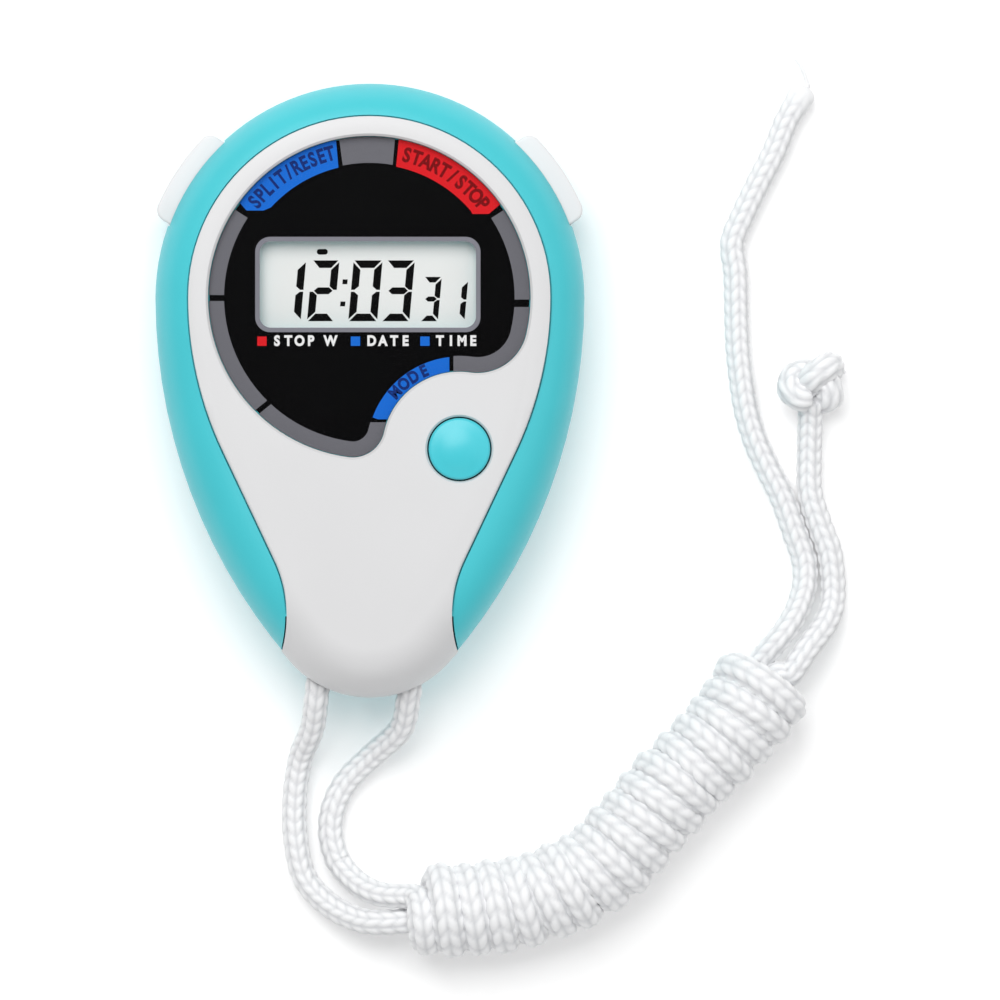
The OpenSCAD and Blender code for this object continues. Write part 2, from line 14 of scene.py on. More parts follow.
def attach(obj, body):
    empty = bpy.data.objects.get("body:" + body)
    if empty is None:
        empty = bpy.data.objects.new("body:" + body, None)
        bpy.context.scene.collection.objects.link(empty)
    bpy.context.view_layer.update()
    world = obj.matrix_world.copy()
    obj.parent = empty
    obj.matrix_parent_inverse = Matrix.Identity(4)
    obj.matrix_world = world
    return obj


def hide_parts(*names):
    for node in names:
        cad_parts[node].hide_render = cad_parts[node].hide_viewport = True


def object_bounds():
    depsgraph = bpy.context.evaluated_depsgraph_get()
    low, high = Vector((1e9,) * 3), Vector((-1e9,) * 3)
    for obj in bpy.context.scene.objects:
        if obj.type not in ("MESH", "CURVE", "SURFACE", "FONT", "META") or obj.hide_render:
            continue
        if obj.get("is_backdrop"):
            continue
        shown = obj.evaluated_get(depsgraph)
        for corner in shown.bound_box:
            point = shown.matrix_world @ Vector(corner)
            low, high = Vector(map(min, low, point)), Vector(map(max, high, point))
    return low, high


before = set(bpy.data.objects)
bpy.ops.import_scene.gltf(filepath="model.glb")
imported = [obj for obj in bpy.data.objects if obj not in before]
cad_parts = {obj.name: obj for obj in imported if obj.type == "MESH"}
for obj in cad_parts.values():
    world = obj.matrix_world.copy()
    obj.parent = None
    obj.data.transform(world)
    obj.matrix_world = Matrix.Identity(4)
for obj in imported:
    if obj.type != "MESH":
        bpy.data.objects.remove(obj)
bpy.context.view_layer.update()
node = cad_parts
MM = 0.001

# ---------------------------------------------------------------------------------------------
# Camera, floor and lights: the camera hangs straight over the watch. The floor is a pale sweep
# under soft light from large panels, the brightest one above and to the left.
# ---------------------------------------------------------------------------------------------
bpy.ops.object.camera_add(location=(0.0174, -0.0147, 1.496), rotation=(0, 0, 0))
camera = bpy.context.object
camera.data.lens = 400
camera.data.sensor_width = 36
camera.data.clip_start = 0.01
bpy.context.scene.camera = camera

floor_z = -0.1 * MM
bpy.ops.mesh.primitive_plane_add(size=3, location=(0, 0, floor_z))
floor = bpy.context.object
floor.name = "floor"
floor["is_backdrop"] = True
floor_paint = bpy.data.materials.new("floor_paint")
floor_paint.use_nodes = True
floor_skin = floor_paint.node_tree.nodes["Principled BSDF"]
floor_skin.inputs["Base Color"].default_value = (0.96, 0.96, 0.96, 1)
floor_skin.inputs["Roughness"].default_value = 0.9
floor_skin.inputs["Emission Color"].default_value = (1, 1, 1, 1)
floor_skin.inputs["Emission Strength"].default_value = 0.14
floor.data.materials.append(floor_paint)

for name, place, size, power in [("key", (-0.14, 0.42, 0.78), 0.7, 6.4),
                                 ("fill", (0.55, 0.1, 0.6), 0.7, 0.9),
                                 ("front", (0.0, -0.7, 0.5), 0.6, 0.95)]:
    bpy.ops.object.light_add(type="AREA", location=place)
    light = bpy.context.object
    light.name = name + "_light"
    light.data.size = size
    light.data.energy = power
    light.rotation_euler = (-Vector(place)).to_track_quat("-Z", "Y").to_euler()
world = bpy.data.worlds.new("studio")
bpy.context.scene.world = world
world.use_nodes = True
world.node_tree.nodes["Background"].inputs["Color"].default_value = (1, 1, 1, 1)
world.node_tree.nodes["Background"].inputs["Strength"].default_value = 0.36
bpy.context.scene.view_settings.view_transform = "Standard"

# ---------------------------------------------------------------------------------------------
# Neck cord: white polyester, knitted as a tube of four columns of stitches, about 3 mm thick. It
# goes round a post inside the tail. One end runs through the wound part to a knot; the other is
# wound round it and ends in a melted tip. Each surface is swept along its route, stitch by stitch.
# ---------------------------------------------------------------------------------------------
cord_d = 3.1 * MM
course = 1.77 * MM
columns = 4
rings_per_course = 8
corners = 32
ring_step = course / rings_per_course
eye_z = 8.4
lay = 1.75
core_z = 5.8
left_way = [(-6.9, -38, eye_z), (-7.2, -41.4, 8), (-7.8, -45.4, 5.5), (-9.4, -49.4, 2.6), (-10.2, -54.8, lay),
            (-10.1, -60.1, lay), (-8.9, -65.4, lay), (-5.8, -68.9, 2.4), (-1.8, -71, 4.2), (1.6, -71.4, 5.6),
            (4.8, -71.4, 5.6)]
right_way = [(5.5, -38, eye_z), (5.1, -41.4, 8), (4.1, -45.4, 5.5), (0.3, -49, 2.6), (-3.1, -52.4, lay),
             (-5, -56.1, lay), (-5.3, -60.1, lay), (-3.9, -64.1, 2.2), (-1.3, -66.6, 4), (2, -67.9, core_z)]
hank_way = [(x, y, core_z) for x, y in [
    (4.8, -69.7), (10, -69.7), (16.5, -69.2), (20.8, -68.6), (24.8, -67.2), (28.8, -65.2), (32.2, -62.6),
    (35.4, -59.4), (38.2, -56.1), (41.4, -52.2), (45.3, -48.6), (48.9, -45), (51.8, -40.9), (54.6, -37)]]
knot_way = [(56.2, -38.1, 5.6), (58.7, -34.6, 5.2), (61.2, -31.2, 3.2), (62.2, -27.6, lay), (61.8, -22, lay),
            (60.4, -18, lay), (59.1, -13.6, lay), (59, -8.7, lay), (59.1, -4, 2.4), (59.1, -1.2, 3.6)]
bare_way = [(55.4, -32.7, 5.4), (57.8, -28.6, 3), (58.4, -23.6, lay), (56.9, -18.7, lay), (55.2, -14, lay),
            (53.4, -10.4, lay), (51.6, -6.3, lay), (50.4, -2, lay), (49.6, 3.7, lay), (49.3, 8, lay),
            (49.2, 12, lay), (49.1, 16, lay), (48.7, 20, lay), (50.3, 24, lay), (52.2, 28, lay),
            (54.3, 32.1, lay), (55.9, 36.1, lay), (57.3, 38.6, lay), (58.6, 40.9, lay)]
post_x, post_y, loop_r = -0.7, -32.6, 6.2
eyes = (post_x - loop_r, post_x + loop_r)


def smooth_route(points, step):
    """A smooth line through the points (mm): places in metres, one step apart."""
    samples = 24
    p = np.array(points, float) * MM
    p = np.vstack([2 * p[0] - p[1], p, 2 * p[-1] - p[-2]])
    fine = []
    for i in range(1, len(p) - 2):
        for t in np.linspace(0, 1, samples, endpoint=False):
            fine.append(0.5 * (2 * p[i] + (p[i + 1] - p[i - 1]) * t
                               + (2 * p[i - 1] - 5 * p[i] + 4 * p[i + 1] - p[i + 2]) * t ** 2
                               + (3 * p[i] - p[i - 1] - 3 * p[i + 1] + p[i + 2]) * t ** 3))
    fine.append(p[-2])
    fine = np.array(fine)
    run = np.concatenate([[0], np.cumsum(np.linalg.norm(np.diff(fine, axis=0), axis=1))])
    count = max(2, int(round(run[-1] / step)))
    at = np.linspace(0, run[-1], count + 1)
    return np.stack([np.interp(at, run, fine[:, k]) for k in range(3)], axis=1)


def knit_tube(name, line, radius, melted=False):
    """A knitted tube along a line of rings, with V stitches raised in its surface and closed ends."""
    count = len(line)
    along = np.gradient(line, axis=0)
    along /= np.linalg.norm(along, axis=1)[:, None]
    side = np.cross(along[0], (0, 0, 1))
    side /= np.linalg.norm(side)
    sides = []
    for t in along:
        side = side - t * side.dot(t)
        side /= np.linalg.norm(side)
        sides.append(side)
    sides = np.array(sides)
    ups = np.cross(along, sides)
    turn = np.arange(corners) / corners
    leg = np.abs(((turn * columns + 0.5) % 1) - 0.5) * 2
    course_at = np.arange(count)[:, None] / rings_per_course
    slant = (course_at + 0.62 * leg[None, :]) % 1
    lump = np.sqrt(np.clip(1 - 0.94 * (2 * slant - 1) ** 2, 0, 1))
    ridge = np.sqrt(np.clip(1 - 0.9 * (2 * leg - 1) ** 2, 0, 1))[None, :]
    height = lump * ridge
    size = radius * (0.89 + 0.25 * height)
    if melted:
        left = np.arange(count)[::-1] / (rings_per_course * 2.0)
        smooth = np.clip(1.15 - left, 0, 1)[:, None]
        bead = np.sqrt(np.clip(1 - (1 - np.clip(left / 0.42, 0, 1)) ** 2, 0.02, 1))[:, None]
        height = height * (1 - smooth) + 0.85 * smooth
        size = (size * (1 - smooth) + radius * 1.24 * smooth) * bead
    size[0] *= 0.85
    size[-1] *= 0.8
    angle = 2 * math.pi * turn
    ring = np.cos(angle)[None, :, None] * sides[:, None, :] + np.sin(angle)[None, :, None] * ups[:, None, :]
    verts = line[:, None, :] + size[:, :, None] * ring
    bulge = cord_d * 0.08
    verts = np.vstack([verts.reshape(-1, 3), line[:1] - along[:1] * bulge, line[-1:] + along[-1:] * bulge])
    lowest = 0.01 * MM
    verts[:, 2] = np.maximum(verts[:, 2], lowest)
    k = np.arange(corners)
    i = np.arange(count - 1)[:, None] * corners
    quads = np.stack([i + k, i + (k + 1) % corners, i + corners + (k + 1) % corners, i + corners + k], axis=2)
    quads = quads.reshape(-1, 4)
    first, last = count * corners, count * corners + 1
    base = (count - 1) * corners
    caps = [(first, (j + 1) % corners, j) for j in range(corners)]
    caps += [(last, base + j, base + (j + 1) % corners) for j in range(corners)]
    mesh = bpy.data.meshes.new(name)
    mesh.from_pydata(verts.tolist(), [], quads.tolist() + caps)
    mesh.polygons.foreach_set("use_smooth", [True] * len(mesh.polygons))
    # The groove value is high where the surface sinks between stitches. The yarn material uses it to darken
    # its colour there: painted shade.
    groove = mesh.attributes.new("groove", "FLOAT", "POINT")
    groove.data.foreach_set("value", np.concatenate([(1 - height).ravel(), [0.5, 0.5]]).astype(np.float32))
    uv = mesh.uv_layers.new(name="knit")
    u0 = np.tile(k * columns / corners, count - 1)
    v0 = np.repeat(np.arange(count - 1) / rings_per_course, corners)
    du, dv = columns / corners, 1 / rings_per_course
    coords = np.stack([u0, v0, u0 + du, v0, u0 + du, v0 + dv, u0, v0 + dv], axis=1).reshape(-1)
    full = np.zeros(len(mesh.loops) * 2, np.float32)
    full[:len(coords)] = coords
    uv.data.foreach_set("uv", full)
    mesh.update()
    piece = bpy.data.objects.new(name, mesh)
    bpy.context.collection.objects.link(piece)
    return piece


# Yarn: bright white polyester with fine filaments; its colour is painted darker in the grooves between
# stitches, a painted shade
yarn = bpy.data.materials.new("knitted_polyester")
yarn.use_nodes = True
tree = yarn.node_tree
skin = tree.nodes["Principled BSDF"]
skin.inputs["Roughness"].default_value = 0.5
skin.inputs["Sheen Weight"].default_value = 0.25
skin.inputs["Sheen Roughness"].default_value = 0.4
groove_shade_depth = tree.nodes.new("ShaderNodeAttribute")
groove_shade_depth.attribute_name = "groove"
# Painted shade: the colour goes from white on the stitches to grey in the grooves, where shade would fall
painted_groove_shade = tree.nodes.new("ShaderNodeValToRGB")
painted_groove_shade.color_ramp.elements[0].position = 0.18
painted_groove_shade.color_ramp.elements[0].color = (0.94, 0.945, 0.955, 1)
painted_groove_shade.color_ramp.elements[1].position = 0.92
painted_groove_shade.color_ramp.elements[1].color = (0.68, 0.69, 0.71, 1)
tree.links.new(groove_shade_depth.outputs["Fac"], painted_groove_shade.inputs["Fac"])
tree.links.new(painted_groove_shade.outputs["Color"], skin.inputs["Base Color"])
stitches = tree.nodes.new("ShaderNodeUVMap")
stitches.uv_map = "knit"
lengthen = tree.nodes.new("ShaderNodeMapping")
lengthen.inputs["Scale"].default_value = (14, 2.2, 1)
lengthen.inputs["Rotation"].default_value = (0, 0, 0.3)
filament = tree.nodes.new("ShaderNodeTexNoise")
filament.inputs["Scale"].default_value = 2.4
filament.inputs["Detail"].default_value = 3
relief = tree.nodes.new("ShaderNodeBump")
relief.inputs["Strength"].default_value = 0.45
relief.inputs["Distance"].default_value = 0.0002
tree.links.new(stitches.outputs["UV"], lengthen.inputs["Vector"])
tree.links.new(lengthen.outputs["Vector"], filament.inputs["Vector"])
tree.links.new(filament.outputs["Fac"], relief.inputs["Height"])
tree.links.new(relief.outputs["Normal"], skin.inputs["Normal"])

# The strand to the knot: round the post, out of the left eye, through the wound part
bend = [(post_x + loop_r * math.cos(math.radians(a)), post_y + loop_r * math.sin(math.radians(a)), eye_z)
        for a in range(0, 181, 20)]
through = left_way[:-1] + [(6.5, -70.9, 5.7)] + hank_way[1:-1] + [(54.4, -38.2, 5.7)]
core_line = smooth_route([(eyes[1], post_y - 4, eye_z)] + bend + through + knot_way, ring_step)
cord_core = knit_tube("cord_core", core_line, cord_d / 2)

# The wound strand: turns round the core, a strand's width apart. The last few are looser and lean. Each
# turn wanders a little, and the strand swells where neighbouring turns press on it.
turns = 18
steps = 26
wound_r = 4.2
hank_run, first_turn, wound_run = 62.2, 1.2, 59.6
loose_from = 0.78
axis_line = smooth_route(hank_way, 0.2 * MM)
axis_run = np.linspace(0, 1, len(axis_line))


def on_axis(at):
    """The place on the hank's axis at a share of its length, in millimetres."""
    return np.array([np.interp(at, axis_run, axis_line[:, c]) for c in range(3)]) / MM


helix = []
for k in range(2, turns * steps - 1):
    turned = k / steps
    share = turned / turns
    late = max(0.0, (share - loose_from) / (1 - loose_from))
    angle = 2 * math.pi * turned
    lean = (0.22 + 1.1 * late) * math.sin(angle + 0.6)
    reach = wound_r * (1 + 0.02 * math.sin(2.3 * turned) + 0.03 * math.sin(5.1 * turned + 1))
    spot = share * wound_run + first_turn + lean + 0.08 * math.sin(3.7 * turned)
    at = min(max(spot / hank_run, 0), 1)
    way = on_axis(min(at + 0.01, 1)) - on_axis(max(at - 0.01, 0))
    left = np.cross((0, 0, 1), way / np.linalg.norm(way))
    reach *= min(1, 0.45 + 0.55 * turned / 0.35) * min(1, 0.5 + 0.5 * (turns - turned) / 0.35)
    out = left * reach * (1 + 0.16 * late) * math.cos(angle)
    helix.append(tuple(on_axis(at) + out + np.array((0, 0, 1)) * reach * math.sin(angle)))
wrap_line = smooth_route(right_way + helix + bare_way, ring_step)
ends = [int(np.argmin(np.linalg.norm(wrap_line - np.array(spot) * MM, axis=1)))
        for spot in (helix[0], helix[-1])]
eased, passes = 60, 70
for end in ends:
    low, high = end - eased, end + eased
    for _ in range(passes):
        wrap_line[low:high] = (wrap_line[low - 1:high - 1] + wrap_line[low + 1:high + 1]) / 2
fade = 20
ring_at = np.arange(len(wrap_line))
in_turns = np.clip((ring_at - ends[0]) / fade, 0, 1) * np.clip((ends[1] - ring_at) / fade, 0, 1)
swell = (cord_d / 2 * (1 + 0.32 * in_turns))[:, None]
cord_wrap = knit_tube("cord_wrap", wrap_line, swell, melted=True)

# The knot: the same cord tied over itself and pulled tight
knot_mid = Vector((59.6, 0.9, 3.55)) * MM
knot_w, knot_h, knot_deep, knot_cord_r = 1.12, 0.86, 1.35, 1.75
knot_line = []
for k in range(0, 121):
    t = 2 * math.pi * k / 120
    knot_line.append(((math.sin(t) + 2 * math.sin(2 * t)) * knot_w,
                      (math.cos(t) - 2 * math.cos(2 * t)) * knot_h, -math.sin(3 * t) * knot_deep))
tilt = Matrix.Rotation(math.radians(28), 3, "Z") @ Matrix.Rotation(math.radians(24), 3, "X")
knot_line = [tuple((tilt @ Vector(p)) + knot_mid / MM) for p in knot_line]
cord_knot = knit_tube("tied_knot", smooth_route(knot_line[3:-6], ring_step), knot_cord_r * MM)


# Strings of melted yarn, drawn out at the sealed tip and at the knot
def filaments(name, root, ends):
    """Thin curved hairs from a root to each of the ends."""
    for n, end in enumerate(ends):
        bpy.ops.curve.primitive_bezier_curve_add()
        hair = bpy.context.object
        start, stop = hair.data.splines[0].bezier_points
        start.co, stop.co = Vector(root) * MM, Vector(end) * MM
        middle = (start.co + stop.co) / 2 + Vector((0.5 - 0.4 * n, 0.3, 0.5)) * MM
        for point in (start, stop):
            point.handle_left = point.handle_right = middle
        hair.data.bevel_depth = 0.28 * MM
        hair.data.use_fill_caps = True
        hair.data.bevel_resolution = 2
        bpy.ops.object.convert(target="MESH")
        hair = bpy.context.object
        hair.name = f"{name}_{n}"
        hair.data.materials.append(yarn)
        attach(hair, "watch")


filaments("tip_hair", (58.8, 41.3, 1.9), [(57.2, 44.6, 2.2)])
filaments("knot_hair", (61.5, 2.7, 3.6), [(63.7, 2.5, 1.2), (60.5, 4.9, 2.2)])

for piece in (cord_core, cord_wrap, cord_knot):
    piece.data.materials.append(yarn)
    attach(piece, "watch")


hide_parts("cord_left_lead", "cord_inner_loop", "cord_knot_tail")
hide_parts("cord_right_lead", "cord_hank", "cord_bare_tail")
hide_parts("cord_knot")


# ---------------------------------------------------------------------------------------------
# Rear shell: moulded aqua ABS, with the screw bosses, the battery bay, the sounder's seat and the
# post for the cord inside. It is the frame's own shape, with its facets blended into one skin.
# ---------------------------------------------------------------------------------------------
# Moulded skin: a faint spark-eroded grain, a slow drift of tone, and gloss that follows the grain
grain_group = bpy.data.node_groups.new("moulded_skin", "ShaderNodeTree")
for label, kind, value in [("Color", "NodeSocketColor", (0.8, 0.8, 0.8, 1)),
                           ("Grain Size", "NodeSocketFloat", 2600), ("Grain Depth", "NodeSocketFloat", 0.08),
                           ("Drift", "NodeSocketFloat", 0.05), ("Roughness", "NodeSocketFloat", 0.4)]:
    socket = grain_group.interface.new_socket(label, in_out="INPUT", socket_type=kind)
    socket.default_value = value
for label, kind in [("Color", "NodeSocketColor"), ("Roughness", "NodeSocketFloat"),
                    ("Normal", "NodeSocketVector")]:
    grain_group.interface.new_socket(label, in_out="OUTPUT", socket_type=kind)
g_in = grain_group.nodes.new("NodeGroupInput")
g_out = grain_group.nodes.new("NodeGroupOutput")
where = grain_group.nodes.new("ShaderNodeTexCoord")
pits = grain_group.nodes.new("ShaderNodeTexNoise")
pits.inputs["Detail"].default_value = 4
drift = grain_group.nodes.new("ShaderNodeTexNoise")
drift.inputs["Scale"].default_value = 60
drift.inputs["Detail"].default_value = 3
dent = grain_group.nodes.new("ShaderNodeBump")
dent.inputs["Distance"].default_value = 0.0001
tone = grain_group.nodes.new("ShaderNodeMapRange")
tone.inputs["From Min"].default_value = 0.3
tone.inputs["From Max"].default_value = 0.7
low_tone = grain_group.nodes.new("ShaderNodeMath")
low_tone.operation = "SUBTRACT"
low_tone.inputs[0].default_value = 1.0
paint = grain_group.nodes.new("ShaderNodeVectorMath")
paint.operation = "SCALE"
gloss = grain_group.nodes.new("ShaderNodeMath")
gloss.operation = "MULTIPLY_ADD"
gloss.inputs[1].default_value = 0.12
join = grain_group.links.new
join(where.outputs["Object"], pits.inputs["Vector"])
join(where.outputs["Object"], drift.inputs["Vector"])
join(g_in.outputs["Grain Size"], pits.inputs["Scale"])
join(g_in.outputs["Grain Depth"], dent.inputs["Strength"])
join(pits.outputs["Fac"], dent.inputs["Height"])
join(drift.outputs["Fac"], tone.inputs["Value"])
join(g_in.outputs["Drift"], low_tone.inputs[1])
join(low_tone.outputs[0], tone.inputs["To Min"])
join(g_in.outputs["Color"], paint.inputs[0])
join(tone.outputs["Result"], paint.inputs["Scale"])
join(pits.outputs["Fac"], gloss.inputs[0])
join(g_in.outputs["Roughness"], gloss.inputs[2])
join(paint.outputs[0], g_out.inputs["Color"])
join(gloss.outputs[0], g_out.inputs["Roughness"])
join(dent.outputs["Normal"], g_out.inputs["Normal"])


def moulded(name, color, roughness=0.36, size=2600, depth=0.08, drift_by=0.05, shine=0.5):
    """A plastic, rubber or sheet metal finish built on the moulded skin."""
    paint = bpy.data.materials.new(name)
    paint.use_nodes = True
    links, nodes = paint.node_tree.links, paint.node_tree.nodes
    skin = nodes["Principled BSDF"]
    skin.inputs["Specular IOR Level"].default_value = shine
    group = nodes.new("ShaderNodeGroup")
    group.node_tree = grain_group
    group.inputs["Color"].default_value = (*color, 1)
    group.inputs["Grain Size"].default_value = size
    group.inputs["Grain Depth"].default_value = depth
    group.inputs["Drift"].default_value = drift_by
    group.inputs["Roughness"].default_value = roughness
    for label, to in [("Color", "Base Color"), ("Roughness", "Roughness"), ("Normal", "Normal")]:
        links.new(group.outputs[label], skin.inputs[to])
    return paint


def wear(piece, paint, body="watch"):
    """Gives a piece its one finish, in its only material slot, and the body that it moves with."""
    piece.data.materials.clear()
    piece.data.materials.append(paint)
    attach(piece, body)


def pick(piece):
    """Makes a piece the active one and the only one that is selected."""
    bpy.ops.object.select_all(action="DESELECT")
    piece.select_set(True)
    bpy.context.view_layer.objects.active = piece


def edit(piece):
    """Opens a piece for editing with its whole mesh selected."""
    pick(piece)
    bpy.ops.object.mode_set(mode="EDIT")
    bpy.ops.mesh.select_all(action="SELECT")


def merged_copy(name, source, flatten=0.0):
    """A copy of a frame node's mesh, its doubled points merged and faces within flatten degrees joined."""
    copy = bpy.data.objects.new(name, node[source].data.copy())
    bpy.context.collection.objects.link(copy)
    edit(copy)
    bpy.ops.mesh.remove_doubles(threshold=0.002 * MM)
    bpy.ops.mesh.customdata_custom_splitnormals_clear()
    if flatten:
        bpy.ops.mesh.dissolve_limited(angle_limit=math.radians(flatten))
    bpy.ops.object.mode_set(mode="OBJECT")
    return copy


def smooth(piece, angle):
    """Shades a piece smooth, with its edges kept crisp where they turn by more than the angle."""
    pick(piece)
    bpy.ops.object.shade_smooth_by_angle(angle=math.radians(angle))


aqua_abs = moulded("aqua_abs", (0.060, 0.575, 0.645), roughness=0.34)
rear_shell = merged_copy("rear_shell", "rear_case")
smooth(rear_shell, 24)
wear(rear_shell, aqua_abs)
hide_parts("rear_case")

# ---------------------------------------------------------------------------------------------
# Front shell: moulded aqua ABS. Its shoulder rises from the parting line in one elliptical curve to
# a flat that carries the faceplate. Openings are cut for the display, the buttons and the cord.
# ---------------------------------------------------------------------------------------------
case_l, head_r, tail_r = 82, 28.7, 14.1
rear_t, front_t, wall = 8.4, 8.6, 1.8
head_y, tail_y = case_l / 2 - head_r, -case_l / 2 + tail_r
reach = case_l - head_r
side_r = (head_r ** 2 + reach ** 2 - 2 * tail_r * reach) / (2 * (head_r - tail_r))
flank = math.degrees(math.atan2(tail_y - head_y, side_r - head_r))
shoulder_w, lip_h = 6.6, 1.2
plate_z, plate_top, ceiling_z = 16.0, 17.6, 14.4
eye_r, eye_run, round_sides = 2, 14, 96


def arc_face(name, arcs, z):
    """A flat face bounded by arcs: centre x, centre y, radius, from and to in degrees. Gaps are straight."""
    most, meet = 46, 0.02
    points = []
    for x, y, r, start, stop in arcs:
        pieces = max(1, math.ceil(abs(stop - start) / most))
        bow = 4 / 3 * math.tan(math.radians((stop - start) / pieces) / 4) * r
        for k in range(pieces + 1):
            a = math.radians(start + (stop - start) * k / pieces)
            spot = Vector((x + r * math.cos(a), y + r * math.sin(a), z))
            pull = Vector((-math.sin(a), math.cos(a), 0)) * bow
            if points and (points[-1][0] - spot).length < meet:
                points[-1][2] = spot + pull
            else:
                points.append([spot, spot - pull if k else None, spot + pull if k < pieces else None])
    if (points[0][0] - points[-1][0]).length < meet:
        points[0][1] = points[-1][1]
        points.pop()
    bpy.ops.curve.primitive_bezier_circle_add()
    ring = bpy.context.object
    ring.name = name
    spline = ring.data.splines[0]
    if len(points) > len(spline.bezier_points):
        spline.bezier_points.add(len(points) - len(spline.bezier_points))
    for n, (spot, before, after) in enumerate(points):
        last, following = points[n - 1][0], points[(n + 1) % len(points)][0]
        point = spline.bezier_points[n]
        point.handle_left_type = point.handle_right_type = "FREE"
        point.co = spot * MM
        point.handle_left = (before if before else spot.lerp(last, 1 / 3)) * MM
        point.handle_right = (after if after else spot.lerp(following, 1 / 3)) * MM
    spline.use_cyclic_u = True
    ring.data.resolution_u = 14
    bpy.ops.object.convert(target="MESH")
    face = bpy.context.object
    edit(face)
    bpy.ops.mesh.remove_doubles(threshold=0.003 * MM)
    bpy.ops.mesh.edge_face_add()
    bpy.ops.mesh.normals_make_consistent(inside=False)
    bpy.ops.object.mode_set(mode="OBJECT")
    if face.data.polygons[0].normal.z < 0:
        face.data.flip_normals()
    return face


def raise_face(face, height, steps=()):
    """Turns the flat face into a solid: straight up by height, then in and up by each step (mm)."""
    edit(face)
    bpy.ops.mesh.extrude_region_move(TRANSFORM_OT_translate={"value": (0, 0, height * MM)})
    for inward, up in steps:
        bpy.ops.mesh.inset(thickness=inward * MM, depth=up * MM, use_even_offset=True)
    bpy.ops.mesh.select_all(action="SELECT")
    bpy.ops.mesh.normals_make_consistent(inside=False)
    bpy.ops.object.mode_set(mode="OBJECT")
    return face


def quarter(width, height, count):
    """The steps of a quarter ellipse: upright at the start, flat at the end."""
    at = [(width * (1 - math.cos(math.pi / 2 * k / count)), height * math.sin(math.pi / 2 * k / count))
          for k in range(count + 1)]
    return [(b[0] - a[0], b[1] - a[1]) for a, b in zip(at, at[1:])]


def cut(piece, tool, how="DIFFERENCE"):
    """Cuts one solid by another, or joins or keeps what they share, and removes the tool."""
    pick(piece)
    change = piece.modifiers.new("cut", "BOOLEAN")
    change.operation = how
    change.solver = "EXACT"
    change.object = tool
    bpy.ops.object.modifier_apply(modifier="cut")
    bpy.data.objects.remove(tool)
    return piece


def case_arcs(inset):
    """The case's outline, moved in by an inset: head, flanks and tail, each one arc."""
    return [(0, head_y, head_r - inset, 0, 180), (side_r - head_r, head_y, side_r - inset, 180, 180 - flank),
            (0, tail_y, tail_r - inset, 180 - flank, 360 + flank),
            (head_r - side_r, head_y, side_r - inset, flank, 0)]


def case_loft(name, inset, low, top, count):
    """The front's outer surface moved in by an inset, from the height low to the flat at top."""
    start = rear_t + lip_h
    shoulder = quarter(shoulder_w, top - start, count)
    return raise_face(arc_face(name, case_arcs(inset), low), start - low, shoulder)


plate_r, plate_side_r, flare_r, waist = 24.1, 48, 17, 11
neck_y = -case_l / 2 + 11


def plate_arcs(inset):
    """The faceplate's outline, moved in by an inset. Its foot runs past the tail."""
    across, down = waist + flare_r + plate_side_r - plate_r, head_y - neck_y
    apart = math.hypot(across, down)
    bend = math.degrees(math.atan2(down, across) - math.acos((plate_side_r + flare_r) / apart))
    flare_end, foot_y, foot_x, foot_r = 21, neck_y - 14, waist + 0.6, 0.5
    right = [(waist + flare_r, neck_y, flare_r + inset, 180 + flare_end, 180 - bend),
             (plate_r - plate_side_r, head_y, plate_side_r - inset, -bend, 0)]
    top = [(0, head_y, plate_r - inset, 0, 180)]
    left = [(plate_side_r - plate_r, head_y, plate_side_r - inset, 180, 180 + bend),
            (-waist - flare_r, neck_y, flare_r + inset, bend, -flare_end)]
    return right + top + left + [(-foot_x, foot_y, foot_r, 180, 270), (foot_x, foot_y, foot_r, 270, 360)]


def box_tool(low, high):
    """A plain box between two corners, to cut with."""
    bpy.ops.mesh.primitive_cube_add(size=1)
    box = bpy.context.object
    box.scale = [(b - a) * MM for a, b in zip(low, high)]
    box.location = [(a + b) / 2 * MM for a, b in zip(low, high)]
    bpy.ops.object.transform_apply(location=True, rotation=True, scale=True)
    return box


def rim_place(turn):
    """Turns and moves something made at the origin to the rim, at the parting line's height."""
    return Matrix.Translation(Vector((0, head_y, rear_t)) * MM) @ Matrix.Rotation(math.radians(turn), 4, "Z")


def drill(x, y, z, r, height, flare=0.0, turn=None):
    """A cylinder to cut with, its low end at x, y, z. A flare widens its top like a countersink."""
    bpy.ops.mesh.primitive_cylinder_add(vertices=round_sides, radius=r * MM, depth=height * MM)
    tool = bpy.context.object
    if flare:
        bpy.ops.object.mode_set(mode="EDIT")
        bpy.ops.mesh.select_all(action="DESELECT")
        bpy.ops.object.mode_set(mode="OBJECT")
        for f in tool.data.polygons:
            f.select = f.normal.z > 0.9
        bpy.ops.object.mode_set(mode="EDIT")
        bpy.ops.mesh.extrude_region_move(TRANSFORM_OT_translate={"value": (0, 0, flare * MM)})
        bpy.ops.transform.resize(value=((r + flare) / r, (r + flare) / r, 1))
        bpy.ops.mesh.extrude_region_move(TRANSFORM_OT_translate={"value": (0, 0, 2 * MM)})
        bpy.ops.object.mode_set(mode="OBJECT")
    shift = Matrix.Translation(Vector((x, y, z)) * MM)
    lift = Matrix.Translation((0, 0, height / 2 * MM))
    tool.data.transform(shift @ (Matrix.Rotation(math.radians(turn), 4, "X") if turn else Matrix()) @ lift)
    return tool


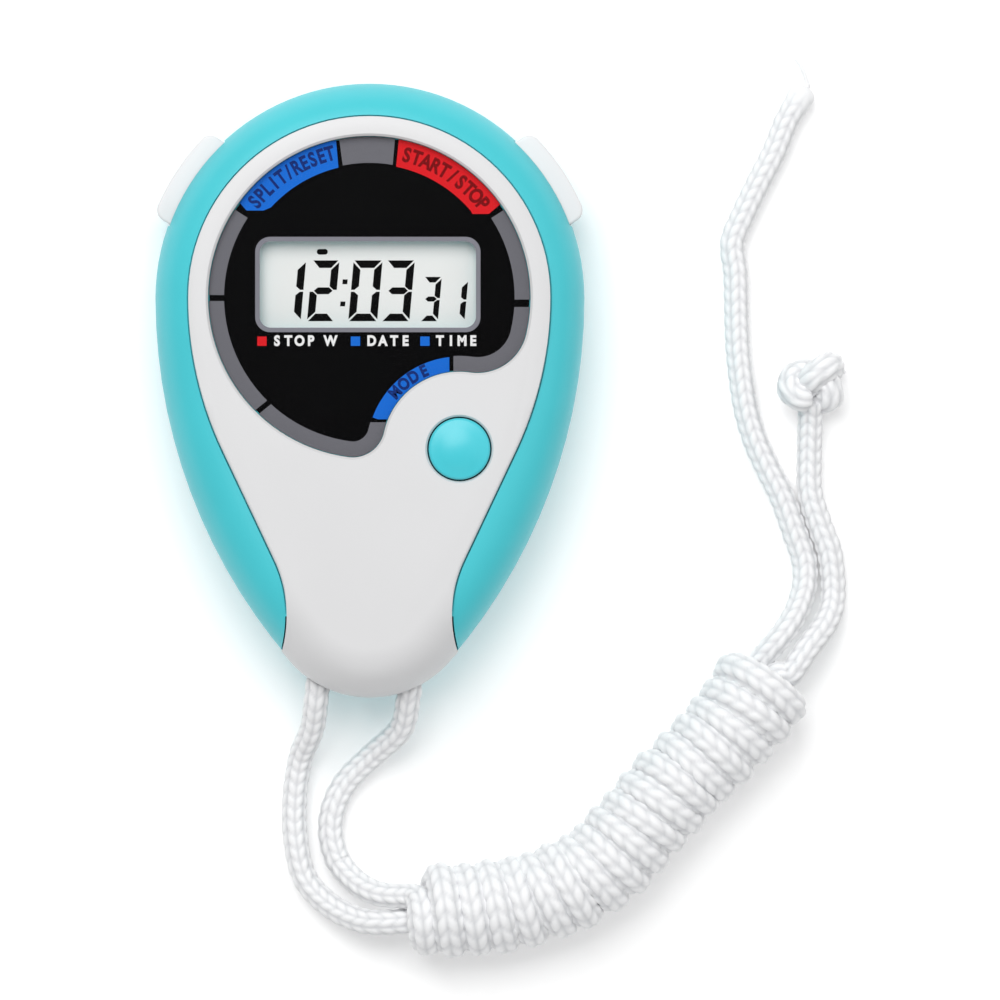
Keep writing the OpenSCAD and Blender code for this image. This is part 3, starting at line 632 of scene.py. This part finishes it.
mode_x, mode_y, mode_r = 12, head_y - 20.2, 4.1
lcd_x, lcd_y, window_w, window_h = -0.2, head_y + 1.7, 28.9, 11.6
rim_turn, rim_w, rim_h, clear = 33.5, 13.2, 6, 0.2
skirt_y, board_z = -case_l / 2 + 10.6, 10.4
past = 40
case_bosses = [(-8.5, head_y + 21), (8.5, head_y + 21), (-17, head_y - 27.8), (17, head_y - 27.8)]
board_bosses = [(-20.6, head_y + 2), (20.6, head_y + 2), (1, head_y - 22)]
bosses = [(x, y, rear_t, 2.5, 0.92, 5) for x, y in case_bosses] + [(post_x, post_y, rear_t, 4, 0.92, 5)]
bosses += [(x, y, board_z, 2, 0.72, 3.6) for x, y in board_bosses]

front_shell = case_loft("front_shell", 0, rear_t, rear_t + front_t, 14)
hollow = case_loft("hollow", wall, rear_t - 1, 15.2, 8)
cut(front_shell, cut(hollow, box_tool((-past, -50, ceiling_z), (past, 50, 20))))
for x, y, foot_z, boss_r, bore_r, bore_h in bosses:
    cut(front_shell, drill(x, y, foot_z, boss_r, ceiling_z - foot_z + 0.4), "UNION")
    cut(front_shell, drill(x, y, foot_z - 1, bore_r, bore_h))
cut(front_shell, raise_face(arc_face("pocket", plate_arcs(-clear), plate_z), 5))
tail_room = raise_face(arc_face("tail_room", plate_arcs(-clear), rear_t - 1), 12)
cut(tail_room, box_tool((-past, skirt_y + clear, 0), (past, 60, 40)))
cut(tail_room, case_loft("inside_skirt", 1.9, rear_t - 2, 15.1, 8))
cut(front_shell, tail_room)
half_w, half_h = window_w / 2 + 0.3, window_h / 2 + 0.3
cut(front_shell, box_tool((lcd_x - half_w, lcd_y - half_h, board_z), (lcd_x + half_w, lcd_y + half_h, 20)))
cut(front_shell, drill(mode_x, mode_y, 13, mode_r + clear, 8))
half_w, half_h = rim_w / 2 + clear, rim_h / 2 + clear
for turn in (180 - rim_turn, rim_turn):
    opening = box_tool((head_r - 4, -half_w, -half_h), (head_r + 4, half_w, half_h))
    opening.data.transform(rim_place(turn))
    cut(front_shell, opening)
for x in eyes:
    cut(front_shell, drill(x, post_y, rear_t, eye_r, eye_run, turn=90))
groove_h, groove_in = 0.12, 0.14
parting = raise_face(arc_face("parting", case_arcs(-1), rear_t - 0.5), 0.5 + groove_h)
cut(parting, raise_face(arc_face("parting_core", case_arcs(groove_in), rear_t - 1), 3))
cut(front_shell, parting)
smooth(front_shell, 30)
wear(front_shell, aqua_abs)
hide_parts("front_case")

# ---------------------------------------------------------------------------------------------
# Faceplate: white ABS, snapped into the front shell. It has a rounded edge all round, a cut-out for
# the display panel, a countersunk hole for the mode button and a skirt that wraps the tail.
# ---------------------------------------------------------------------------------------------
white_abs = moulded("white_abs", (0.69, 0.69, 0.697), roughness=0.38, depth=0.05, drift_by=0.02)
plate_over = 0.15
panel_r, bite_r, lobe_r, horn_r = 21.4, 10.35, 4.2, 6.6


def two_circles(x0, y0, r0, x1, y1, r1, side):
    """Where two circles meet, on the side that is asked for."""
    dx, dy = x1 - x0, y1 - y0
    far = math.hypot(dx, dy)
    run = (far ** 2 + r0 ** 2 - r1 ** 2) / (2 * far)
    off = side * math.sqrt(r0 ** 2 - run ** 2)
    return x0 + (run * dx - off * dy) / far, y0 + (run * dy + off * dx) / far


lobe = two_circles(0, head_y, panel_r - lobe_r, mode_x, mode_y, bite_r + lobe_r, -1)
horn = two_circles(0, head_y, panel_r - horn_r, mode_x, mode_y, bite_r + horn_r, 1)


def heading(a, b):
    """The direction from one place to another, in degrees."""
    return math.degrees(math.atan2(b[1] - a[1], b[0] - a[0]))


def panel_arcs(inset):
    """The display panel's outline: a circle with a bite round the mode button and rounded corners."""
    head, mode = (0, head_y), (mode_x, mode_y)
    lobe_out, horn_out = heading(head, lobe), heading(head, horn)
    return [(0, head_y, panel_r - inset, horn_out, lobe_out + 360),
            (*lobe, lobe_r - inset, lobe_out, heading(lobe, mode)),
            (*mode, bite_r + inset, heading(mode, lobe), heading(mode, horn)),
            (*horn, horn_r - inset, heading(horn, mode), horn_out)]


edge_r, foot_gap = 0.45, 0.05
faceplate = raise_face(arc_face("faceplate_shell", plate_arcs(0), rear_t + foot_gap),
                       plate_top - edge_r - rear_t - foot_gap, quarter(edge_r, edge_r, 5))
cut(faceplate, case_loft("plate_limit", -plate_over, rear_t - 1, plate_top + 0.001, 14), "INTERSECT")
cut(faceplate, box_tool((-past, skirt_y, 0), (past, 60, plate_z)))
cut(faceplate, case_loft("skirt_room", 1.6, rear_t - 2, 15.4, 8))
cut(faceplate, raise_face(arc_face("panel_hole", panel_arcs(-0.08), plate_z - 1), 4))
# The chamfer round the panel: its tool is raised upside down, so that its steps go in, and mirrored
lip = raise_face(arc_face("panel_lip", panel_arcs(-0.38), -plate_top - 0.1), 0.1, [(0.3, 0.3)])
lip.data.transform(Matrix.Scale(-1, 4, (0, 0, 1)))
lip.data.flip_normals()
cut(faceplate, lip)
cut(faceplate, drill(mode_x, mode_y, plate_z - 1, mode_r + clear, 2.35, flare=0.25))
for x in eyes:
    cut(faceplate, drill(x, post_y, rear_t, eye_r, eye_run, turn=90))
smooth(faceplate, 32)
wear(faceplate, white_abs)
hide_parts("faceplate")

# ---------------------------------------------------------------------------------------------
# Display panel: a black film, printed on its front and gummed into the plate's pocket, under a clear
# acrylic window. The inks are thin layers on the film, cut to the window's outline.
# ---------------------------------------------------------------------------------------------
ink_z, ink_t = 16.302, 0.02


def ink(name, color):
    """A screen-printed ink: nearly even, with a slight mottle where the mesh laid it thinner."""
    return moulded(name, color, roughness=0.45, size=5200, depth=0.006, drift_by=0.03, shine=0.05)


def printed(name, arcs, paint):
    """A layer of ink with the outline that the arcs give."""
    layer = raise_face(arc_face(name, arcs, ink_z), ink_t)
    wear(layer, paint)
    return layer


def ink_box(x0, y0, x1, y1):
    """A tall box to cut a gap in the inks with."""
    return box_tool((x0, y0, 10), (x1, y1, 20))


def repaint(paint, *names):
    """Gives the frame's own nodes the finish of their real material."""
    for name in names:
        for slot in node[name].material_slots:
            slot.material = paint


film_black = moulded("film_black", (0.0012, 0.0012, 0.0014), roughness=0.5, size=4200, depth=0.004,
                     shine=0.02)
tape_paint = moulded("tape", (0.62, 0.62, 0.58), roughness=0.6, size=900, depth=0.1)
repaint(film_black, "print_film")
repaint(tape_paint, "lens_tape")

gray_ink = ink("gray_ink", (0.162, 0.162, 0.182))
blue_ink = ink("blue_ink", (0.010, 0.155, 0.68))
red_ink = ink("red_ink", (0.74, 0.014, 0.020))
navy_ink = ink("navy_ink", (0.008, 0.030, 0.18))
maroon_ink = ink("maroon_ink", (0.20, 0.004, 0.006))
white_ink = ink("white_ink", (0.86, 0.86, 0.86))
ring_ink = ink("ring_ink", (0.235, 0.235, 0.27))

# Grey band round the panel, open at the top and at the mode patch, with three narrow gaps
band_w, block_w, patch_w, trim = 2.05, 3.5, 3.65, 0.02
out_r = panel_r - trim
open_from, open_to = 33.0, 146.9
band = printed("gray_band", panel_arcs(trim), gray_ink)
cut(band, raise_face(arc_face("band_inside", panel_arcs(band_w), ink_z - 1), 3))
top_gap = [(0, head_y, 30, open_from, open_to), (0, head_y, 0.5, open_to, open_from)]
cut(band, raise_face(arc_face("top_gap", top_gap, ink_z - 1), 3))
cut(band, ink_box(-26, head_y - 0.5, -10, head_y + 0.3))
cut(band, ink_box(10, head_y - 1.3, 26, head_y - 0.3))
slit = ink_box(-3.5, -0.35, 3.5, 0.35)
slit_place = Matrix.Translation((-14.6 * MM, -2.7 * MM, 0))
slit.data.transform(slit_place @ Matrix.Rotation(math.radians(39), 4, "Z"))
cut(band, slit)
cut(band, ink_box(-1, -4.35, 11.2, 5.6))

# The patches: parts of a ring, with the two long ones' outer corners cut off level
printed("top_block", [(0, head_y, out_r, 80.8, 100.8), (0, head_y, panel_r - block_w, 101.4, 80.0)],
        gray_ink)
printed("split_patch", [(0, head_y, out_r, 102.0, 143.9), (-16.35, 23.85, 0.01, 0, 0),
                        (-14.1, 23.85, 0.01, 0, 0), (0, head_y, panel_r - patch_w, 137.6, 103.4)], blue_ink)
printed("start_patch", [(0, head_y, panel_r - patch_w, 78.4, 40.3), (13.7, 23.4, 0.01, 0, 0),
                        (15.9, 23.4, 0.01, 0, 0), (0, head_y, out_r, 35.4, 79.4)], red_ink)
mode_ring = [(mode_x, mode_y, bite_r + trim, 160, 96), (mode_x, mode_y, bite_r + 1.95, 96, 160)]
mode_patch = printed("mode_patch", mode_ring, blue_ink)
cut(mode_patch, ink_box(-3, -8, 6, -3.95))
cut(mode_patch, ink_box(10.65, 0, 16, 9))


def joined(name, parts):
    """Joins parts into one piece of the given name."""
    pick(parts[0])
    for part in parts:
        part.select_set(True)
    bpy.ops.object.join()
    whole = bpy.context.object
    whole.name = whole.data.name = name
    return whole


def letters(name, text, spots, height, wide, paint, bold):
    """Capital letters, one at each spot (x, y, turn), printed on the inks under them."""
    made = []
    for letter, (x, y, turn) in zip(text, spots):
        if letter == " ":
            continue
        bpy.ops.object.text_add()
        sign = bpy.context.object
        sign.data.body = letter
        sign.data.align_x, sign.data.align_y = "CENTER", "CENTER"
        sign.data.size = height / 0.7 * MM
        sign.data.offset = bold * MM
        sign.data.extrude = ink_t / 2 * MM
        sign.data.resolution_u = 5
        bpy.ops.object.convert(target="MESH")
        sign = bpy.context.object
        place = Matrix.Translation(Vector((x, y, ink_z + ink_t * 1.5)) * MM)
        squeeze = Matrix.Rotation(math.radians(turn), 4, "Z") @ Matrix.Diagonal((wide, 1, 1, 1))
        sign.data.transform(place @ squeeze)
        made.append(sign)
    wear(joined(name, made), paint)


def along_arc(x, y, r, first, last, count):
    """Spots for letters that stand on an arc, read clockwise."""
    turns = [first + (last - first) * k / (count - 1) for k in range(count)]
    return [(x + r * math.cos(math.radians(a)), y + r * math.sin(math.radians(a)), a - 90) for a in turns]


letters("split_legend", "SPLIT/RESET", along_arc(0, head_y, 19.75, 140.3, 105.4, 11), 1.85, 0.76,
        navy_ink, 0.1)
letters("start_legend", "START/STOP", along_arc(0, head_y, 19.5, 75.2, 39.6, 10), 1.85, 0.82,
        maroon_ink, 0.1)
letters("mode_legend", "MODE", along_arc(mode_x, mode_y, bite_r + 0.98, 138.6, 114.6, 4), 1.5, 0.84,
        navy_ink, 0.1)
row_y, half, corner = 6.45, 0.6, 0.02
for name, text, x, pitch, places in [("stop_word", "STOP W", -12.3, 1.5, (0, 1, 2, 3, 4, 4.75)),
                                     ("date_word", "DATE", 0.3, 1.5, range(4)),
                                     ("time_word", "TIME", 9.4, 1.47, range(4))]:
    letters(name, text, [(x + pitch * k, row_y, 0) for k in places], 1.3, 0.88, white_ink, 0.09)
for name, x, paint in [("stop_square", -14.3, red_ink), ("date_square", -1.85, blue_ink),
                       ("time_square", 7.4, blue_ink)]:
    printed(name, [(x - half, row_y + half, corner, 90, 180), (x - half, row_y - half, corner, 180, 270),
                   (x + half, row_y - half, corner, 270, 360), (x + half, row_y + half, corner, 0, 90)],
            paint)


def rounded_box(x, y, w, h, r):
    """The arcs of a rectangle round x, y with corners of radius r."""
    return [(x + w / 2 - r, y + h / 2 - r, r, 0, 90), (x - w / 2 + r, y + h / 2 - r, r, 90, 180),
            (x - w / 2 + r, y - h / 2 + r, r, 180, 270), (x + w / 2 - r, y - h / 2 + r, r, 270, 360)]


ring = printed("window_ring", rounded_box(lcd_x, lcd_y, window_w + 1.1, window_h + 1.1, 2.0), ring_ink)
inside = rounded_box(lcd_x, lcd_y, window_w - 0.1, window_h - 0.1, 1.5)
cut(ring, raise_face(arc_face("ring_inside", inside, 15), 3))

# Clear window: cast acrylic, cut to the panel's outline with a polished chamfer.
clear_acrylic = bpy.data.materials.new("clear_acrylic")
clear_acrylic.use_nodes = True
clear_skin = clear_acrylic.node_tree.nodes["Principled BSDF"]
clear_skin.inputs["Base Color"].default_value = (0.012, 0.012, 0.014, 1)
clear_skin.inputs["IOR"].default_value = 1.49
clear_skin.inputs["Alpha"].default_value = 0.035
haze = clear_acrylic.node_tree.nodes.new("ShaderNodeTexNoise")
haze.inputs["Scale"].default_value = 90
haze_at = clear_acrylic.node_tree.nodes.new("ShaderNodeTexCoord")
haze_map = clear_acrylic.node_tree.nodes.new("ShaderNodeMapRange")
haze_map.inputs["To Min"].default_value = 0.10
haze_map.inputs["To Max"].default_value = 0.22
join = clear_acrylic.node_tree.links.new
join(haze_at.outputs["Object"], haze.inputs["Vector"])
join(haze.outputs["Fac"], haze_map.inputs["Value"])
join(haze_map.outputs["Result"], clear_skin.inputs["Roughness"])
lens_low, lens_high, bevel = 16.365, 17.5, 0.12
lens_side = lens_high - lens_low - bevel
lens = raise_face(arc_face("lens", panel_arcs(0.01), lens_low), lens_side, [(bevel, bevel)])
smooth(lens, 25)
wear(lens, clear_acrylic)
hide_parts("display_lens")

# ---------------------------------------------------------------------------------------------
# Liquid crystal display: two sheets of glass between two polarizers. The dark segments stand on the
# pale field, slanted a little. The colon and the mark over the second digit are part of them.
# ---------------------------------------------------------------------------------------------
field = moulded("lcd_field", (0.85, 0.86, 0.845), roughness=0.45, size=7000, depth=0.01, drift_by=0.03)
repaint(field, "lcd_front_polarizer", "lcd_rear_polarizer")
glass = bpy.data.materials.new("lcd_glass")
glass.use_nodes = True
glass_skin = glass.node_tree.nodes["Principled BSDF"]
glass_skin.inputs["IOR"].default_value = 1.52
glass_skin.inputs["Alpha"].default_value = 0.35
tint = glass.node_tree.nodes.new("ShaderNodeTexNoise")
tint.inputs["Scale"].default_value = 140
tint_at = glass.node_tree.nodes.new("ShaderNodeTexCoord")
tint_map = glass.node_tree.nodes.new("ShaderNodeValToRGB")
tint_map.color_ramp.elements[0].color = (0.66, 0.74, 0.70, 1)
tint_map.color_ramp.elements[1].color = (0.74, 0.80, 0.77, 1)
join = glass.node_tree.links.new
join(tint_at.outputs["Object"], tint.inputs["Vector"])
join(tint.outputs["Fac"], tint_map.inputs["Fac"])
join(tint_map.outputs["Color"], glass_skin.inputs["Base Color"])
repaint(glass, "lcd_front_glass", "lcd_rear_glass")

segment_black = moulded("segment_black", (0.0015, 0.0015, 0.0015), roughness=0.4, size=7000, depth=0.005,
                        shine=0.03)
lcd_top = 14.252
slant = 0.09
base_y = 9.15


def segments(x, w, h, t, lit):
    """The outlines of the lit segments of one digit. The middle is g; a to f run clockwise from the top."""
    half, s = h / 2, 0.13
    top = [(s, h), (w - s, h), (w - s - t * 0.9, h - t), (s + t * 0.9, h - t)]
    right = [(w, h - 2 * s), (w, half + s), (w - t * 0.45, half + s), (w - t, half + t * 0.6),
             (w - t, h - t - 2 * s)]
    tip, shoulder, thin = t * 0.55, t * 1.05, t * 0.45
    middle = [(tip, half), (shoulder, half - thin), (w - shoulder, half - thin), (w - tip, half),
              (w - shoulder, half + thin), (shoulder, half + thin)]
    shapes = {"a": top, "b": right, "g": middle, "f": [(w - px, py) for px, py in right],
              "c": [(px, h - py) for px, py in right], "d": [(px, h - py) for px, py in top],
              "e": [(w - px, h - py) for px, py in right]}
    return [[(x + px + slant * py, base_y + py) for px, py in shapes[part]] for part in lit]


tall, short, bold, thin = 8.1, 5.9, 1.0, 0.74
marks = []
for x, w, h, t, lit in [(-12.9, 3.7, tall, bold, "bc"), (-8.35, 3.6, tall, bold, "abged"),
                        (-2.85, 3.85, tall, bold, "abcdef"), (1.6, 3.7, tall, bold, "abgcd"),
                        (6.75, 2.35, short, thin, "abgcd"), (10.3, 2.35, 5.5, thin, "bc")]:
    marks += segments(x, w, h, t, lit)
for x, y in [(-3.28, 14.4), (-3.58, 11.45)]:
    marks.append([(x - 0.36, y - 0.32), (x + 0.3, y - 0.32), (x + 0.36, y + 0.32), (x - 0.3, y + 0.32)])
outlines = []
for shape in marks:
    around = sum((shape[n - 1][0] * y - x * shape[n - 1][1]) for n, (x, y) in enumerate(shape))
    outlines.append([(x, y, 0.01, 0, 0) for x, y in (shape if around > 0 else shape[::-1])])
outlines.append(rounded_box(-6.3, 18.4, 1.45, 0.74, 0.36))
digits = joined("lcd_segments", [raise_face(arc_face("segment", arcs, lcd_top), ink_t) for arcs in outlines])
wear(digits, segment_black)

# ---------------------------------------------------------------------------------------------
# Mode button: glossy aqua ABS, turned in the mould, domed on top. A flange under the front shell
# keeps it in, and a silicone pad with a carbon pill under it springs it back.
# ---------------------------------------------------------------------------------------------
aqua_gloss = moulded("aqua_gloss", (0.058, 0.59, 0.68), roughness=0.27, depth=0.02, drift_by=0.02)
flange_r, flange_z, flange_t = 5.1, 13.5, 0.7
bpy.ops.mesh.primitive_circle_add(vertices=round_sides, radius=flange_r * MM, fill_type="NGON",
                                  location=(mode_x * MM, mode_y * MM, flange_z * MM))
mode_cap = bpy.context.object
mode_cap.name = mode_cap.data.name = "mode_cap"
bpy.ops.object.transform_apply(location=True, rotation=True, scale=True)
sides, dome = [(flange_r - mode_r, 0), (0.001, 3.5)], [(0.9, 0.315), (0.9, 0.225), (0.9, 0.135), (0.6, 0.04)]
raise_face(mode_cap, flange_t, sides + quarter(0.5, 0.4, 5) + dome)
smooth(mode_cap, 35)
wear(mode_cap, aqua_gloss, "mode_button")
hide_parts("mode_button")
silicone = moulded("silicone", (0.72, 0.72, 0.69), roughness=0.55, size=1500, depth=0.05)
carbon = moulded("black_rubber", (0.02, 0.02, 0.021), roughness=0.6, size=1800, depth=0.15, drift_by=0.1)
repaint(silicone, "mode_pad")
repaint(carbon, "mode_pill")

# ---------------------------------------------------------------------------------------------
# Rim buttons: white ABS caps, left and right of the head. Each follows the case's curve, has soft
# edges, and is kept in by a flange. A stem on it pushes a leaf of spring brass against the board.
# ---------------------------------------------------------------------------------------------
button_abs = moulded("button_abs", (0.78, 0.78, 0.79), roughness=0.3, depth=0.04, drift_by=0.02)
rim_out, corner_r, flange_out, stem = 2.2, 1.6, 0.9, 1.5
outer_r, inner_r = head_r + rim_out, head_r - 4.6
corner_y = rim_w / 2 - corner_r
corner_x = math.sqrt((outer_r - corner_r) ** 2 - corner_y ** 2)
swing = math.degrees(math.atan2(corner_y, corner_x))
root = math.degrees(math.asin(rim_w / 2 / inner_r))
for name, angle in [("start_cap", rim_turn), ("split_cap", 180 - rim_turn)]:
    arcs = [(0, 0, outer_r, -swing, swing), (corner_x, corner_y, corner_r, swing, 90),
            (0, 0, inner_r, root, -root), (corner_x, -corner_y, corner_r, -90, -swing)]
    cap = raise_face(arc_face(name, arcs, -rim_h / 2), rim_h)
    soft = cap.modifiers.new("soft", "BEVEL")
    soft.width, soft.segments, soft.angle_limit = 0.75 * MM, 5, math.radians(50)
    bpy.ops.object.modifier_apply(modifier="soft")
    half_w, half_h = rim_w / 2 + flange_out, rim_h / 2 + flange_out
    cut(cap, box_tool((inner_r - 0.8, -half_w, -half_h), (inner_r + 0.2, half_w, half_h)), "UNION")
    cut(cap, box_tool((inner_r - 2.8, -stem, -stem), (inner_r, stem, stem)), "UNION")
    cap.data.transform(rim_place(angle))
    smooth(cap, 35)
    body = name.replace("cap", "button")
    wear(cap, button_abs, body)
    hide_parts(body)

# ---------------------------------------------------------------------------------------------
# Battery cover: a moulded aqua disc with two bayonet lugs and a slot for a coin. Its edges are
# broken all round. A nitrile ring sits in its groove.
# ---------------------------------------------------------------------------------------------
cover = merged_copy("cover_disc", "battery_cover", flatten=0.5)
broken = cover.modifiers.new("broken", "BEVEL")
broken.width, broken.segments, broken.angle_limit = 0.16 * MM, 3, math.radians(50)
bpy.ops.object.modifier_apply(modifier="broken")
smooth(cover, 35)
wear(cover, aqua_abs, "battery_cover")
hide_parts("battery_cover")
repaint(carbon, "cover_seal")

# ---------------------------------------------------------------------------------------------
# The works: board, chip, crystal, sounder, cell, contacts, zebra strips, frame and screws. These
# keep the frame's own shapes, and each gets the finish of its real material.
# ---------------------------------------------------------------------------------------------


def metal(name, color, roughness, depth=0.05):
    """Sheet, wire or plated metal with a fine rolled grain."""
    paint = moulded(name, color, roughness=roughness, size=1600, depth=depth, drift_by=0.12)
    paint.node_tree.nodes["Principled BSDF"].inputs["Metallic"].default_value = 1
    return paint


board_paint = moulded("board", (0.012, 0.11, 0.035), roughness=0.3, size=700, depth=0.1, drift_by=0.2)
epoxy = moulded("epoxy_black", (0.012, 0.012, 0.013), roughness=0.2, size=500, depth=0.12)
frame_paint = moulded("frame_plastic", (0.68, 0.68, 0.64), roughness=0.45)
zebra = moulded("zebra_rubber", (0.50, 0.22, 0.28), roughness=0.6, size=3000, depth=0.2, drift_by=0.25)
fired = moulded("ceramic", (0.50, 0.38, 0.22), roughness=0.7, size=1200, depth=0.2, drift_by=0.15)
brass = metal("brass_sheet", (0.72, 0.50, 0.18), 0.28)
tin = metal("tin_can", (0.70, 0.70, 0.72), 0.22)
spring = metal("spring_steel", (0.62, 0.62, 0.64), 0.3)
nickel = metal("cell_steel", (0.68, 0.69, 0.71), 0.25)
zinc = metal("screw_steel", (0.55, 0.56, 0.58), 0.35, 0.1)
repaint(board_paint, "pcb")
repaint(epoxy, "chip_blob", "resistors")
repaint(tin, "quartz_crystal")
repaint(fired, "capacitors", "piezo_ceramic")
repaint(frame_paint, "lcd_frame")
repaint(zebra, "zebra_upper", "zebra_lower")
repaint(spring, "buzzer_spring")
repaint(nickel, "battery_cell")
repaint(brass, "piezo_plate", "battery_contact_positive", "battery_contact_negative", "start_contact",
        "split_contact")
repaint(zinc, "case_screws", "pcb_screws")

low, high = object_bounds()
